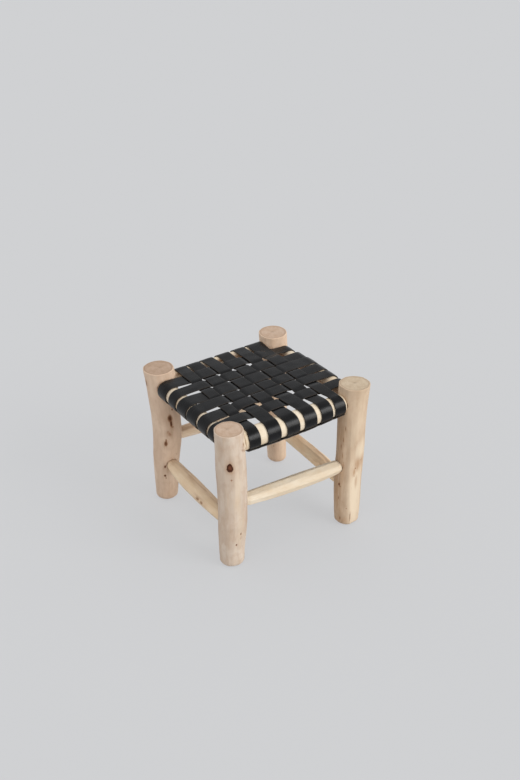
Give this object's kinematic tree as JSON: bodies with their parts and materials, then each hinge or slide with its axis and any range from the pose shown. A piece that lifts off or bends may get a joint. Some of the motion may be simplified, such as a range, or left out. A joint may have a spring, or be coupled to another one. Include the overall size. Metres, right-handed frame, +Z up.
{
  "type": "moroccan kursi stool",
  "caption": "Low four-legged stool of peeled branch wood with round mortised joints, hewn stretchers and a seat of black leather straps in an open plain weave.",
  "frame": {"origin": "on the floor under the middle of the stool", "axes": "+Z up; +X to the stool's right and +Y to its back; the front stretcher is the high one towards -Y"},
  "size_m": [0.3087, 0.3176, 0.286],
  "materials": {
    "leg_wood": "matte",
    "rail_wood": "matte",
    "stretcher_wood": "matte",
    "strap_leather": "semi-gloss",
    "tack_steel": "satin"
  },
  "bodies": {
    "root": {"leg_front_left": "leg_wood", "leg_front_right": "leg_wood", "leg_back_left": "leg_wood", "leg_back_right": "leg_wood", "seat_rail_front": "rail_wood", "seat_rail_back": "rail_wood", "seat_rail_left": "rail_wood", "seat_rail_right": "rail_wood", "stretcher_front": "stretcher_wood", "stretcher_back": "stretcher_wood", "stretcher_left": "stretcher_wood", "stretcher_right": "stretcher_wood", "strap_lengthwise_1": "strap_leather", "strap_lengthwise_2": "strap_leather", "strap_lengthwise_3": "strap_leather", "strap_lengthwise_4": "strap_leather", "strap_lengthwise_5": "strap_leather", "strap_lengthwise_6": "strap_leather", "strap_crosswise_1": "strap_leather", "strap_crosswise_2": "strap_leather", "strap_crosswise_3": "strap_leather", "strap_crosswise_4": "strap_leather", "strap_crosswise_5": "strap_leather", "strap_crosswise_6": "strap_leather", "binding_front": "strap_leather", "binding_back": "strap_leather", "binding_left": "strap_leather", "binding_right": "strap_leather", "tacks_front": "tack_steel", "tacks_back": "tack_steel", "tacks_left": "tack_steel", "tacks_right": "tack_steel"}
  },
  "joints": []
}
